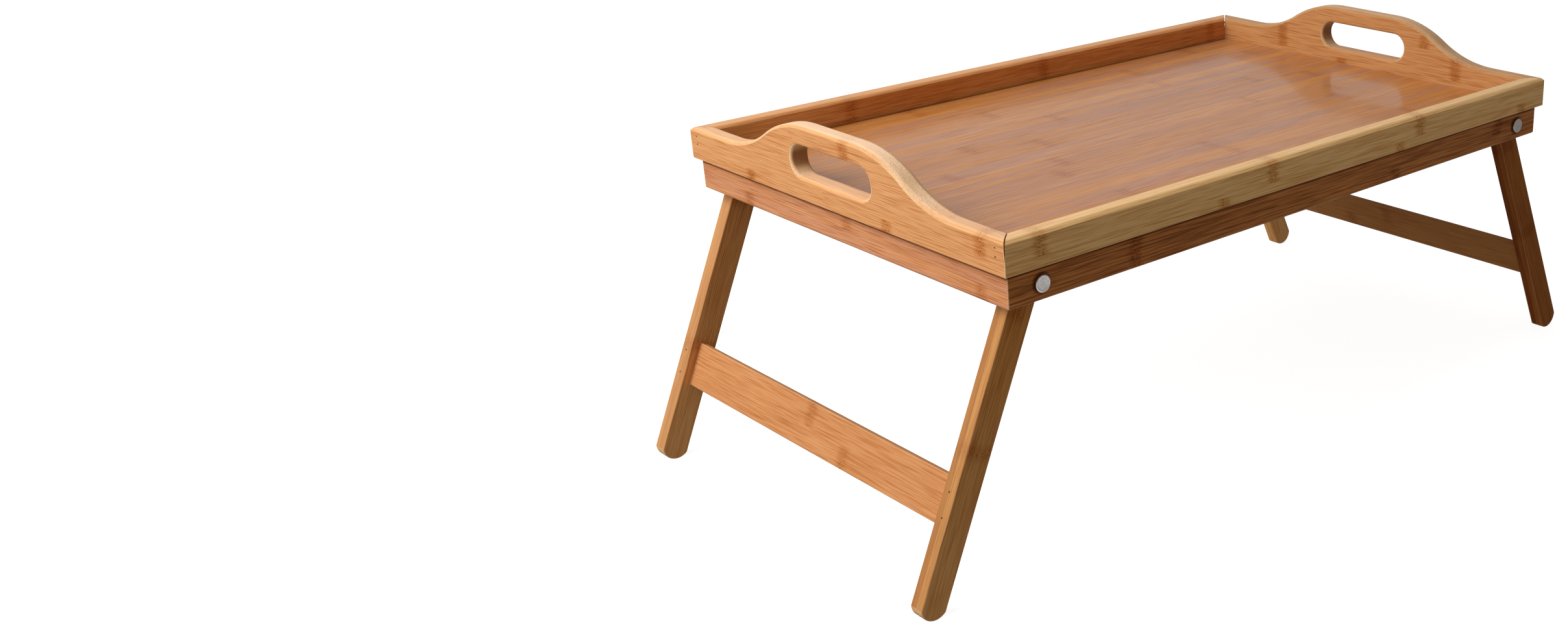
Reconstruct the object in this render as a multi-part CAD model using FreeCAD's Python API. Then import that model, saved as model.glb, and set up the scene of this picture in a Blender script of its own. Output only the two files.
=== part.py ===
"""Folding tray table in bamboo: a serving tray with two end handles on two folding leg frames.

Row frame: origin on the floor under the middle of the tray, +X along the tray, +Y to its back, +Z up.
It is drawn with the legs open, as it stands.
"""
import FreeCAD, Part
import math
import os

from FreeCAD import Vector

# ---- driving dimensions, in millimetres and degrees ----

# The upper frame: two rails and two end boards, mitred at the corners.
TRAY_LENGTH = 500.0
TRAY_WIDTH = 325.0
RAIL_THICK = 12.8
RAIL_HEIGHT = 20.6
RAIL_TOP_BEVEL = 2.0
RAIL_TOP_ROUND = 3.0       # softens the bevel where it meets the flat top
RAIL_FOOT_ROUND = 0.5
CORNER_ROUND = 0.8
MITRE_GAP = 0.8            # the mitres of the upper frame open slightly towards the top
MITRE_GAP_DEPTH = 14.0

# The handle arch on each end board, drawn with two equal arcs on each side of a flat crest.
HANDLE_RISE = 26.3
CREST_HALF_LENGTH = 26.4
ARCH_RADIUS = 86.0

# The hand slot through each end board, an obround with rounded edges.
SLOT_LENGTH = 82.0
SLOT_HEIGHT = 20.0
SLOT_ROUND = 2.4
SLOT_ABOVE_RAIL_TOP = 3.6

# The tray panel: its thinner edge lies in a rebate under the upper frame and is held up by the skirt.
PANEL_THICK = 3.5
PANEL_EDGE_THICK = 2.9
REBATE_DEPTH = 6.0
PANEL_EDGE_GAP = 0.4       # between the panel's edge and the end of the rebate
PANEL_FIELD_GAP = 0.5      # between the panel's raised field and the rails, a thin shadow line

# The skirt: a lower mitred frame, set in from the upper one.
SKIRT_INSET = 4.0
SKIRT_THICK = 9.4
SKIRT_FOOT_ROUND = 2.0

# The legs, which turn on pivots halfway up the skirt and lean outwards when open.
# The skirt is just deep enough to hide a folded leg, with the same room above and below it.
LEG_WIDTH = 18.0
LEG_ROOM = 1.5
LEG_THICK = 10.4
LEG_REACH = 199.6          # from the pivot to the tip of the foot, along the leg
FOOT_CROWN = 5.8           # height of the arc that ends the leg
LEG_SPLAY = 24.0
LEG_EDGE_ROUND = 0.9
STOP_GAP = 0.05            # between an open leg and the skirt edge that stops it

# The stretcher, a flat board tenoned into both legs of a frame and held by pins.
STRETCHER_DROP = 133.3     # from the pivot to the middle of the stretcher, along the leg
STRETCHER_WIDTH = 29.0
STRETCHER_THICK = 5.5
STRETCHER_ROUND = 1.0
TENON_LENGTH = 8.0
TENON_SHOULDER = 2.0
TENON_PIN_SPACING = 15.2
TENON_PIN_LENGTH = 12.5

# The corner brads, two through each end of an end board into the rail.
BRAD_LENGTH = 22.0
BRAD_FROM_CORNER = 8.0
BRAD_DEPTHS = (5.0, 10.2)  # below the top of the rail
BRAD_RADIUS = 0.6
BRAD_SINK = 0.4

# The pivot hardware: a bolt with a flat head on a short neck, two washers and a cap nut.
SHANK_RADIUS = 2.5
HEAD_RADIUS = 5.1
HEAD_THICK = 1.2
HEAD_ROUND = 0.35
NECK_RADIUS = 3.3
NECK_LENGTH = 0.8
WASHER_RADIUS = 5.0
WASHER_THICK = 0.5
NUT_RADIUS = 4.0
NUT_LENGTH = 4.0
NUT_CAP = 1.0
NUT_ROUND = 0.8

# Clearances.
RUNNING_CLEARANCE = 0.05   # radial, leg bore on the bolt's shank
SIDE_CLEARANCE = 0.1       # between a turning leg and a washer
SEAT_CLEARANCE = 0.02      # radial, pins, brads and bolts in their own holes
WASHER_CLEARANCE = 0.1     # radial, washer on the shank

# ---- sizes worked out from them ----

SPLAY = math.radians(LEG_SPLAY)
FOOT_RADIUS = (LEG_WIDTH ** 2 / 4 + FOOT_CROWN ** 2) / (2 * FOOT_CROWN)
SKIRT_HEIGHT = LEG_WIDTH + 2 * LEG_ROOM
PIVOT_Z = FOOT_RADIUS + (LEG_REACH - FOOT_RADIUS) * math.cos(SPLAY)
SKIRT_BOTTOM = PIVOT_Z - SKIRT_HEIGHT / 2
SKIRT_TOP = SKIRT_BOTTOM + SKIRT_HEIGHT
RAIL_BOTTOM = SKIRT_TOP
RAIL_TOP = RAIL_BOTTOM + RAIL_HEIGHT
CREST_Z = RAIL_TOP + HANDLE_RISE
SLOT_Z = RAIL_TOP + SLOT_ABOVE_RAIL_TOP

SKIRT_LENGTH = TRAY_LENGTH - 2 * SKIRT_INSET
SKIRT_WIDTH = TRAY_WIDTH - 2 * SKIRT_INSET
SKIRT_FACE_Y = SKIRT_WIDTH / 2
SKIRT_INNER_Y = SKIRT_FACE_Y - SKIRT_THICK
SKIRT_INNER_X = SKIRT_LENGTH / 2 - SKIRT_THICK

# An open leg leans on the rounded inner edge at the foot of the end skirt, which sets the pivot's place.
EDGE_CENTRE_DROP = SKIRT_HEIGHT / 2 - SKIRT_FOOT_ROUND
EDGE_CENTRE_OUT = (
    LEG_WIDTH / 2 + STOP_GAP + SKIRT_FOOT_ROUND + EDGE_CENTRE_DROP * math.sin(SPLAY)
) / math.cos(SPLAY)
PIVOT_X = SKIRT_INNER_X + SKIRT_FOOT_ROUND - EDGE_CENTRE_OUT

LEG_OUTER_Y = SKIRT_INNER_Y - WASHER_THICK - SIDE_CLEARANCE
LEG_INNER_Y = LEG_OUTER_Y - LEG_THICK
LEG_MIDDLE_Y = (LEG_OUTER_Y + LEG_INNER_Y) / 2
INNER_WASHER_Y = LEG_INNER_Y - SIDE_CLEARANCE
NUT_Y = INNER_WASHER_Y - WASHER_THICK

OVERSIZE = 5.0             # how far cutting tools run past what they cut
ON_LINE = 0.01             # how near an edge lies to the line it is picked by


# ---- helpers ----

def block(low, high):
    """A box from its lowest corner to its highest."""
    size = Vector(*high) - Vector(*low)
    return Part.makeBox(size.x, size.y, size.z, Vector(*low))


def rounded(shape, radius, wanted):
    """The shape with every edge that wanted(edge) picks rounded."""
    return shape.makeFillet(radius, [edge for edge in shape.Edges if wanted(edge)])


def bevelled(shape, width, wanted):
    """The shape with every edge that wanted(edge) picks cut off at 45 degrees."""
    return shape.makeChamfer(width, [edge for edge in shape.Edges if wanted(edge)])


def spans(edge, axis):
    """How far an edge runs along x, y or z."""
    limits = edge.BoundBox
    return {"x": limits.XLength, "y": limits.YLength, "z": limits.ZLength}[axis]


def on_line(edge, **place):
    """True for an edge that lies wholly at the given x, y and z values."""
    limits = edge.BoundBox
    sides = {
        "x": (limits.XMin, limits.XMax),
        "y": (limits.YMin, limits.YMax),
        "z": (limits.ZMin, limits.ZMax),
    }
    return all(abs(side - value) < ON_LINE for axis, value in place.items() for side in sides[axis])


def pin(radius, length, start, direction):
    """A round bar from start, along direction."""
    return Part.makeCylinder(radius, length, Vector(*start), Vector(*direction))


def mirrored(shape, **flips):
    """The shape mirrored across the middle of the tray, in x, in y or in both."""
    for axis in flips:
        normal = Vector(1, 0, 0) if axis == "x" else Vector(0, 1, 0)
        shape = shape.mirror(Vector(0, 0, 0), normal)
    return shape


def at_four_corners(shape):
    """The piece at the front left corner and its three mirror images."""
    return [shape, mirrored(shape, x=1), mirrored(shape, y=1), mirrored(shape, x=1, y=1)]


def group(solids):
    """Separate equal solids that make one node."""
    return Part.makeCompound(solids)


def frame_corner_limits(length, width, bottom, top):
    """The block that a mitred frame fills, with its four upright edges slightly rounded."""
    whole = block((-length / 2, -width / 2, bottom), (length / 2, width / 2, top))
    return rounded(whole, CORNER_ROUND, lambda edge: spans(edge, "z") > ON_LINE)


def mitred(piece, length, width, thick, side):
    """Trims a piece of a frame to 45 degree mitres; side is 'front' or 'left'."""
    limits = piece.BoundBox
    low, high = limits.ZMin - OVERSIZE, limits.ZMax + OVERSIZE
    end, edge = length / 2, width / 2
    if side == "front":
        plan = [(-end, -edge), (end, -edge), (end - thick, -edge + thick), (-end + thick, -edge + thick)]
    else:
        plan = [(-end, -edge), (-end, edge), (-end + thick, edge - thick), (-end + thick, -edge + thick)]
    corners = [Vector(x, y, low) for x, y in plan]
    wedge = Part.Face(Part.makePolygon(corners + corners[:1])).extrude(Vector(0, 0, high - low))
    return piece.common(wedge).common(frame_corner_limits(length, width, low, high))


# ---- the upper frame ----

def sheet(past_rails, thick):
    """A flat sheet on top of the skirt that runs past the rails' inner faces by past_rails."""
    reach_x = TRAY_LENGTH / 2 - RAIL_THICK + past_rails
    reach_y = TRAY_WIDTH / 2 - RAIL_THICK + past_rails
    return block((-reach_x, -reach_y, RAIL_BOTTOM), (reach_x, reach_y, RAIL_BOTTOM + thick))


def panel_rebate():
    """The space under the upper frame that the panel's edge lies in."""
    return sheet(REBATE_DEPTH, PANEL_EDGE_THICK)


def tray_panel():
    """The panel: a thin edge all round and a raised field between the rails."""
    edge = sheet(REBATE_DEPTH - PANEL_EDGE_GAP, PANEL_EDGE_THICK)
    field = sheet(-PANEL_FIELD_GAP, PANEL_THICK)
    return edge.fuse(field).removeSplitter()


def corner_brads():
    """Two brads in each corner, driven through the face of the end board along the rail."""
    brads = []
    for depth in BRAD_DEPTHS:
        start = (-TRAY_LENGTH / 2 + BRAD_SINK, -TRAY_WIDTH / 2 + BRAD_FROM_CORNER, RAIL_TOP - depth)
        brads += at_four_corners(pin(BRAD_RADIUS, BRAD_LENGTH, start, (1, 0, 0)))
    return brads


def corner_brad_holes():
    """The holes that the corner brads fill, open at the face of the end board."""
    holes = []
    for depth in BRAD_DEPTHS:
        start = (-TRAY_LENGTH / 2 - OVERSIZE, -TRAY_WIDTH / 2 + BRAD_FROM_CORNER, RAIL_TOP - depth)
        length = OVERSIZE + BRAD_SINK + BRAD_LENGTH
        holes += at_four_corners(pin(BRAD_RADIUS + SEAT_CLEARANCE, length, start, (1, 0, 0)))
    return holes


def mitre_gaps():
    """Thin wedges along the four mitres, open at the top and closed MITRE_GAP_DEPTH below it."""
    half = MITRE_GAP / 2 / math.sqrt(2)
    corner = Vector(-TRAY_LENGTH / 2 - OVERSIZE, -TRAY_WIDTH / 2 - OVERSIZE, RAIL_TOP)
    outline = [
        corner + Vector(-half, half, 0),
        corner + Vector(half, -half, 0),
        corner + Vector(0, 0, -MITRE_GAP_DEPTH),
    ]
    reach = RAIL_THICK + 2 * OVERSIZE
    wedge = Part.Face(Part.makePolygon(outline + outline[:1])).extrude(Vector(reach, reach, 0))
    return at_four_corners(wedge)


def front_rail():
    """The straight front rail, with a round-over on its top edges and the panel's rebate inside."""
    outer, inner = -TRAY_WIDTH / 2, -TRAY_WIDTH / 2 + RAIL_THICK
    rail = block((-TRAY_LENGTH / 2, outer, RAIL_BOTTOM), (TRAY_LENGTH / 2, inner, RAIL_TOP))
    top_edge = lambda e: on_line(e, z=RAIL_TOP) and spans(e, "x") > ON_LINE
    rail = bevelled(rail, RAIL_TOP_BEVEL, top_edge)
    rail = rounded(rail, RAIL_TOP_ROUND, top_edge)
    rail = rounded(rail, RAIL_FOOT_ROUND, lambda e: on_line(e, y=outer, z=RAIL_BOTTOM))
    rail = rail.cut(panel_rebate()).cut(corner_brad_holes() + mitre_gaps())
    return mitred(rail, TRAY_LENGTH, TRAY_WIDTH, RAIL_THICK, "front")


def arch_outline():
    """The end board's face: level shoulders, an S on each side and a flat crest, as one closed wire."""
    turn = math.acos(1 - HANDLE_RISE / (2 * ARCH_RADIUS))
    half_rise = HANDLE_RISE / 2
    run = ARCH_RADIUS * math.sin(turn)
    face_x = -TRAY_LENGTH / 2

    def point(y, z):
        return Vector(face_x, y, z)

    def side(sign):
        """The edges of one S, from the crest down to the shoulder."""
        crest = point(sign * CREST_HALF_LENGTH, CREST_Z)
        middle = point(sign * (CREST_HALF_LENGTH + run), CREST_Z - half_rise)
        shoulder = point(sign * (CREST_HALF_LENGTH + 2 * run), RAIL_TOP)
        bow_y = ARCH_RADIUS * math.sin(turn / 2)
        bow_z = ARCH_RADIUS * (1 - math.cos(turn / 2))
        over = point(sign * (CREST_HALF_LENGTH + bow_y), CREST_Z - bow_z)
        under = point(sign * (CREST_HALF_LENGTH + 2 * run - bow_y), RAIL_TOP + bow_z)
        return shoulder, [Part.Arc(crest, over, middle), Part.Arc(middle, under, shoulder)]

    corners = {sign: (point(sign * TRAY_WIDTH / 2, RAIL_TOP), point(sign * TRAY_WIDTH / 2, RAIL_BOTTOM))
               for sign in (-1, 1)}
    curves = [
        Part.LineSegment(point(-CREST_HALF_LENGTH, CREST_Z), point(CREST_HALF_LENGTH, CREST_Z)),
        Part.LineSegment(corners[-1][1], corners[1][1]),
    ]
    for sign in (-1, 1):
        shoulder, arcs = side(sign)
        curves += arcs
        curves.append(Part.LineSegment(shoulder, corners[sign][0]))
        curves.append(Part.LineSegment(*corners[sign]))
    return Part.Wire(Part.__sortEdges__([curve.toShape() for curve in curves]))


def bar_outline(low, high, half_width, low_crown, high_crown, point):
    """A face with two straight sides and an arc at each end; point(along, across) places it."""
    edges = [
        Part.LineSegment(point(low, half_width), point(high, half_width)),
        Part.Arc(point(high, half_width), point(high + high_crown, 0), point(high, -half_width)),
        Part.LineSegment(point(high, -half_width), point(low, -half_width)),
        Part.Arc(point(low, -half_width), point(low - low_crown, 0), point(low, half_width)),
    ]
    return Part.Face(Part.Wire([edge.toShape() for edge in edges]))


def hand_slot():
    """The obround bar that cuts the hand slot through the left end board."""
    radius = SLOT_HEIGHT / 2
    half = SLOT_LENGTH / 2 - radius
    start_x = -TRAY_LENGTH / 2 - OVERSIZE
    face = bar_outline(-half, half, radius, radius, radius, lambda y, z: Vector(start_x, y, SLOT_Z + z))
    return face.extrude(Vector(RAIL_THICK + 2 * OVERSIZE, 0, 0))


def left_end_board():
    """The end board with its arch, its hand slot and the panel's rebate."""
    outer, inner = -TRAY_LENGTH / 2, -TRAY_LENGTH / 2 + RAIL_THICK
    board = Part.Face(arch_outline()).extrude(Vector(RAIL_THICK, 0, 0))

    def top_edge(edge, inset):
        at_inset = on_line(edge, x=outer + inset) or on_line(edge, x=inner - inset)
        return at_inset and spans(edge, "y") > ON_LINE and edge.BoundBox.ZMin > RAIL_BOTTOM + ON_LINE

    board = bevelled(board, RAIL_TOP_BEVEL, lambda e: top_edge(e, 0))
    board = rounded(board, RAIL_TOP_ROUND, lambda e: top_edge(e, RAIL_TOP_BEVEL))
    board = rounded(board, RAIL_FOOT_ROUND, lambda e: on_line(e, x=outer, z=RAIL_BOTTOM))
    slot = hand_slot()
    board = board.cut(slot)

    around_slot = slot.BoundBox
    around_slot.enlarge(ON_LINE)
    board = rounded(board, SLOT_ROUND, lambda e: around_slot.isInside(e.BoundBox) and spans(e, "x") < ON_LINE)
    board = board.cut(panel_rebate()).cut(corner_brad_holes() + mitre_gaps())
    return mitred(board, TRAY_LENGTH, TRAY_WIDTH, RAIL_THICK, "left")


# ---- the skirt ----

def rounded_skirt(low, high, along):
    """A plain skirt board with both lower long edges rounded."""
    board = block(low, high)
    lower_edge = lambda e: on_line(e, z=SKIRT_BOTTOM) and spans(e, along) > ON_LINE
    return rounded(board, SKIRT_FOOT_ROUND, lower_edge)


def pivot_bore(radius, start_y, length):
    """A round bar along the front left pivot, from start_y towards the back."""
    return pin(radius, length, (-PIVOT_X, start_y, PIVOT_Z), (0, 1, 0))


def front_skirt():
    """The front skirt, with a bore for each pivot bolt."""
    low = (-SKIRT_LENGTH / 2, -SKIRT_FACE_Y, SKIRT_BOTTOM)
    board = rounded_skirt(low, (SKIRT_LENGTH / 2, -SKIRT_INNER_Y, SKIRT_TOP), "x")
    bore = pivot_bore(SHANK_RADIUS + SEAT_CLEARANCE, -SKIRT_FACE_Y - OVERSIZE, SKIRT_THICK + 2 * OVERSIZE)
    board = board.cut([bore, mirrored(bore, x=1)])
    return mitred(board, SKIRT_LENGTH, SKIRT_WIDTH, SKIRT_THICK, "front")


def left_skirt():
    """The end skirt, whose rounded lower edge inside stops the open legs."""
    low = (-SKIRT_LENGTH / 2, -SKIRT_FACE_Y, SKIRT_BOTTOM)
    board = rounded_skirt(low, (-SKIRT_INNER_X, SKIRT_FACE_Y, SKIRT_TOP), "y")
    return mitred(board, SKIRT_LENGTH, SKIRT_WIDTH, SKIRT_THICK, "left")


# ---- the leg frame, drawn upright below its pivot and then leant outwards ----

def leant(shape):
    """Moves a piece drawn below the origin to the front left pivot and leans it outwards."""
    shape = shape.copy()
    shape.rotate(Vector(0, 0, 0), Vector(0, 1, 0), LEG_SPLAY)
    shape.translate(Vector(-PIVOT_X, 0, PIVOT_Z))
    return shape


def tenon_pin_bars(radius, start_x, length):
    """Round bars across the tenon at the front leg, from start_x towards +X, before leaning."""
    heights = [-STRETCHER_DROP + sign * TENON_PIN_SPACING / 2 for sign in (-1, 1)]
    return [pin(radius, length, (start_x, -LEG_MIDDLE_Y, z), (1, 0, 0)) for z in heights]


def tenon_pin_holes():
    """The holes that the tenon pins fill, open at the leg's outer edge."""
    length = OVERSIZE + BRAD_SINK + TENON_PIN_LENGTH
    return tenon_pin_bars(BRAD_RADIUS + SEAT_CLEARANCE, -LEG_WIDTH / 2 - OVERSIZE, length)


def tenon_section(start_y, end_y):
    """The tenon's thickness and width between two y values."""
    half_width = STRETCHER_WIDTH / 2 - TENON_SHOULDER
    low = (-STRETCHER_THICK / 2, start_y, -STRETCHER_DROP - half_width)
    return block(low, (STRETCHER_THICK / 2, end_y, -STRETCHER_DROP + half_width))


def left_front_leg():
    """A leg with a round head, a crowned foot, the pivot bore, the mortise and the pin holes."""
    half = LEG_WIDTH / 2
    foot = -LEG_REACH + FOOT_CROWN
    face = bar_outline(foot, 0, half, FOOT_CROWN, half, lambda z, x: Vector(x, -LEG_OUTER_Y, z))
    leg = face.extrude(Vector(0, LEG_THICK, 0))
    leg = rounded(leg, LEG_EDGE_ROUND, lambda e: on_line(e, y=-LEG_OUTER_Y) or on_line(e, y=-LEG_INNER_Y))
    bore_start = (0, -LEG_OUTER_Y - OVERSIZE, 0)
    bore = pin(SHANK_RADIUS + RUNNING_CLEARANCE, LEG_THICK + 2 * OVERSIZE, bore_start, (0, 1, 0))
    mortise = tenon_section(-LEG_INNER_Y - TENON_LENGTH, -LEG_INNER_Y + OVERSIZE)
    return leant(leg.cut([bore, mortise] + tenon_pin_holes()))


def left_stretcher():
    """The flat board between the two legs, with a shouldered tenon at each end."""
    low = (-STRETCHER_THICK / 2, -LEG_INNER_Y, -STRETCHER_DROP - STRETCHER_WIDTH / 2)
    board = block(low, (STRETCHER_THICK / 2, LEG_INNER_Y, -STRETCHER_DROP + STRETCHER_WIDTH / 2))
    board = rounded(board, STRETCHER_ROUND, lambda e: spans(e, "y") > ON_LINE)
    tenons = tenon_section(-LEG_INNER_Y - TENON_LENGTH, LEG_INNER_Y + TENON_LENGTH)
    holes = tenon_pin_holes()
    holes += [mirrored(hole, y=1) for hole in holes]
    return leant(board.fuse(tenons).removeSplitter().cut(holes))


def left_tenon_pins():
    """Four pins, two through each tenon, driven in from the leg's outer edge."""
    pins = tenon_pin_bars(BRAD_RADIUS, -LEG_WIDTH / 2 + BRAD_SINK, TENON_PIN_LENGTH)
    pins = [leant(bar) for bar in pins]
    return group(pins + [mirrored(bar, y=1) for bar in pins])


# ---- the pivot hardware at the front left corner ----

def pivot_bolt():
    """A flat round head on a short neck, and a shank that ends in the cap nut."""
    head = pivot_bore(HEAD_RADIUS, -SKIRT_FACE_Y - NECK_LENGTH - HEAD_THICK, HEAD_THICK)
    head = rounded(head, HEAD_ROUND, lambda e: spans(e, "x") > HEAD_RADIUS and spans(e, "y") < ON_LINE)
    neck = pivot_bore(NECK_RADIUS, -SKIRT_FACE_Y - NECK_LENGTH, NECK_LENGTH)
    shank_length = SKIRT_FACE_Y - (NUT_Y - NUT_LENGTH + NUT_CAP)
    shank = pivot_bore(SHANK_RADIUS, -SKIRT_FACE_Y, shank_length)
    return head.fuse([neck, shank]).removeSplitter()


def pivot_washer(start_y):
    """A thin ring on the shank, from start_y towards the middle of the tray."""
    disc = pivot_bore(WASHER_RADIUS, -start_y, WASHER_THICK)
    hole = pivot_bore(SHANK_RADIUS + WASHER_CLEARANCE, -start_y - OVERSIZE, WASHER_THICK + 2 * OVERSIZE)
    return disc.cut(hole)


def cap_nut():
    """A round nut, closed at its inner end, screwed on the shank."""
    nut = pivot_bore(NUT_RADIUS, -NUT_Y, NUT_LENGTH)
    nut = rounded(nut, NUT_ROUND, lambda e: on_line(e, y=-NUT_Y + NUT_LENGTH))
    bore = pivot_bore(SHANK_RADIUS + SEAT_CLEARANCE, -NUT_Y - OVERSIZE, OVERSIZE + NUT_LENGTH - NUT_CAP)
    return nut.cut(bore)


# ---- every node ----

def all_nodes():
    """The solids by node name."""
    rail = front_rail()
    end_board = left_end_board()
    skirt = front_skirt()
    end_skirt = left_skirt()
    leg = left_front_leg()
    stretcher = left_stretcher()
    pins = left_tenon_pins()
    washers = at_four_corners(pivot_washer(SKIRT_INNER_Y)) + at_four_corners(pivot_washer(INNER_WASHER_Y))
    return {
        "front_rail": rail,
        "back_rail": mirrored(rail, y=1),
        "left_end_board": end_board,
        "right_end_board": mirrored(end_board, x=1),
        "tray_panel": tray_panel(),
        "corner_brads": group(corner_brads()),
        "front_skirt": skirt,
        "back_skirt": mirrored(skirt, y=1),
        "left_skirt": end_skirt,
        "right_skirt": mirrored(end_skirt, x=1),
        "pivot_bolts": group(at_four_corners(pivot_bolt())),
        "pivot_washers": group(washers),
        "cap_nuts": group(at_four_corners(cap_nut())),
        "left_front_leg": leg,
        "left_back_leg": mirrored(leg, y=1),
        "left_stretcher": stretcher,
        "left_tenon_pins": pins,
        "right_front_leg": mirrored(leg, x=1),
        "right_back_leg": mirrored(leg, x=1, y=1),
        "right_stretcher": mirrored(stretcher, x=1),
        "right_tenon_pins": mirrored(pins, x=1),
    }


os.makedirs("parts", exist_ok=True)
for name, shape in all_nodes().items():
    shape.exportStep("parts/%s.step" % name)
    print("%-18s %d solids %10.1f mm3 valid %s" % (name, len(shape.Solids), shape.Volume, shape.isValid()))
print("pivot at x %.2f z %.2f, rail top %.2f, crest %.2f" % (PIVOT_X, PIVOT_Z, RAIL_TOP, CREST_Z))
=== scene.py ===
# %% [markdown]
# # A folding bamboo tray table
#
# The table is a shallow tray of oiled bamboo. Two long rails and two end boards with
# arched hand slots make its rim, a thin panel is its floor, and a skirt under the rim
# hides four short legs. Each pair of legs is joined by a stretcher and swings flat on
# two nickel bolts. The solid shapes come from the frame, so this lesson is about the
# finish: how to make solid, cut-through bamboo out of nodes, how to turn bright
# little bolts, and how to light it all like a plain studio shot.

# %% Open the frame
import bmesh
import bpy
from math import cos, pi, radians, sin
from mathutils import Matrix, Vector


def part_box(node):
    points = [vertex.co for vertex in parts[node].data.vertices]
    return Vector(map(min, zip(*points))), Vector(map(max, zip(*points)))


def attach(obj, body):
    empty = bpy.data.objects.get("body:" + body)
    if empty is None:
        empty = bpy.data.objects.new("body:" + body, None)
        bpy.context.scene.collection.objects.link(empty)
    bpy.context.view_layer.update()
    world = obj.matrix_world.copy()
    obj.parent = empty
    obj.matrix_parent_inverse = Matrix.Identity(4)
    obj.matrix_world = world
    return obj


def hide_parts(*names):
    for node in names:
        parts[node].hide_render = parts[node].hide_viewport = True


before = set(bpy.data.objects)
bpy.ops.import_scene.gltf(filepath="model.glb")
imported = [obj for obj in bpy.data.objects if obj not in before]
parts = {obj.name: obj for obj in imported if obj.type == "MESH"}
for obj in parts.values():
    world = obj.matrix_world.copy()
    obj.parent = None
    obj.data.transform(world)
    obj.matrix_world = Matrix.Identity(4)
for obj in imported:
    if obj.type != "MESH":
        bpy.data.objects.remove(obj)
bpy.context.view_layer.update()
print("pieces in the frame:", len(parts))

# %% [markdown]
# ## The camera
#
# A product is often shot from a little above its near corner, so that the inside of
# the tray, one long side and one end all show. A camera is described here by where it
# stands, which way it faces as a compass angle, and how far it looks down. Turning
# those two angles into a rotation keeps the horizon level. The table stands in the
# right half of a wide picture, so the lens is shifted sideways, not turned, because
# turning it would change the perspective.

# %% Stand the camera at the near corner
scene = bpy.context.scene


def stand(name, data):
    """A new object in the scene that shows the data."""
    thing = bpy.data.objects.new(name, data)
    scene.collection.objects.link(thing)
    return thing


lens = bpy.data.cameras.new("studio_camera")
lens.sensor_width = 36.0
lens.lens = 37.945
lens.shift_x = -0.2844
lens.clip_end = 60.0
camera = stand("studio_camera", lens)
camera.location = (-0.7557, -0.8172, 0.5037)
compass, downward = radians(45.94), radians(21.94)
camera.rotation_euler = (pi / 2 - downward, 0.0, -compass)
scene.camera = camera
away = (camera.location - Vector((0, 0, 0.1))).length
print("camera is", round(away, 3), "m from the middle")

# %% [markdown]
# ## Helpers for the finishes
#
# A finish is a tree of small nodes wired together, and by hand that takes many lines.
# A few helpers keep the recipes readable: one adds a node, one joins it, and one does
# a sum, so that a recipe reads from top to bottom like arithmetic.

# %% Add, join and reckon with nodes
def add(tree, kind, **settings):
    """A new node with some of its settings filled in."""
    node = tree.nodes.new(kind)
    for name, value in settings.items():
        setattr(node, name, value)
    return node


def feed(tree, socket, value):
    """Joins an output to a socket, or writes a plain value on it."""
    if isinstance(value, bpy.types.NodeSocket):
        tree.links.new(value, socket)
    else:
        socket.default_value = value


def calc(tree, operation, *values, clamp=False):
    """One sum on two or three values."""
    node = add(tree, "ShaderNodeMath", operation=operation, use_clamp=clamp)
    for socket, value in zip(node.inputs, values):
        feed(tree, socket, value)
    return node.outputs[0]


print("nodes can be added and joined")


# %% [markdown]
# Two more are needed for every colour. A fade turns a measure, such as a distance,
# into a share from 0 to 1 with soft ends, and a blend lays one colour over another by
# such a share.

# %% Fade and blend
def fade(tree, value, start, end, low=0.0, high=1.0):
    """Goes smoothly from low to high while value goes from start to end."""
    node = add(tree, "ShaderNodeMapRange", interpolation_type="SMOOTHSTEP")
    for socket, number in zip(node.inputs, (value, start, end, low, high)):
        feed(tree, socket, number)
    return node.outputs[0]


def blend(tree, share, under, over, way="MIX"):
    """Lays one colour over another by a share from 0 to 1."""
    node = add(tree, "ShaderNodeMix", data_type="RGBA", blend_type=way)
    feed(tree, node.inputs["Factor"], share)
    for name, colour in (("A", under), ("B", over)):
        socket = [s for s in node.inputs if s.name == name and s.type == "RGBA"][0]
        plain = not isinstance(colour, bpy.types.NodeSocket)
        feed(tree, socket, (*colour, 1.0) if plain else colour)
    return [s for s in node.outputs if s.type == "RGBA"][0]


print("measures fade and colours blend")


# %% [markdown]
# Textures are made to measure. The place that feeds one is first stretched to so many
# features in a metre each way, and its Scale stays at 1, so that a size in the recipe
# is a real size on the table.

# %% Lay noise at a real size
def joined(tree, *values):
    """Three numbers as one place."""
    node = add(tree, "ShaderNodeCombineXYZ")
    for socket, value in zip(node.inputs, values):
        feed(tree, socket, value)
    return node.outputs[0]


def stretched(tree, place, along, across, through):
    """The place, scaled so that a texture has that many features in a metre each way."""
    node = add(tree, "ShaderNodeVectorMath", operation="MULTIPLY")
    feed(tree, node.inputs[0], place)
    node.inputs[1].default_value = (along, across, through)
    return node.outputs[0]


def cloud(tree, place, size, detail=2.0, roughness=0.5):
    """Soft noise from 0 to 1. size is the number of features in a metre, each way."""
    node = add(tree, "ShaderNodeTexNoise", noise_dimensions="3D")
    feed(tree, node.inputs["Vector"], stretched(tree, place, *size))
    node.inputs["Scale"].default_value = 1.0
    node.inputs["Detail"].default_value = detail
    node.inputs["Roughness"].default_value = roughness
    return node.outputs[0]


print("noise can be laid")


# %% [markdown]
# Last come the start and the end of every finish: the empty material, and the bump
# that lets light catch on what is too shallow to model.

# %% Start and roughen a finish
def new_finish(name):
    """An empty material with its tree and its Principled shader."""
    finish = bpy.data.materials.new(name)
    finish.use_nodes = True
    return finish, finish.node_tree, finish.node_tree.nodes["Principled BSDF"]


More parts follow.
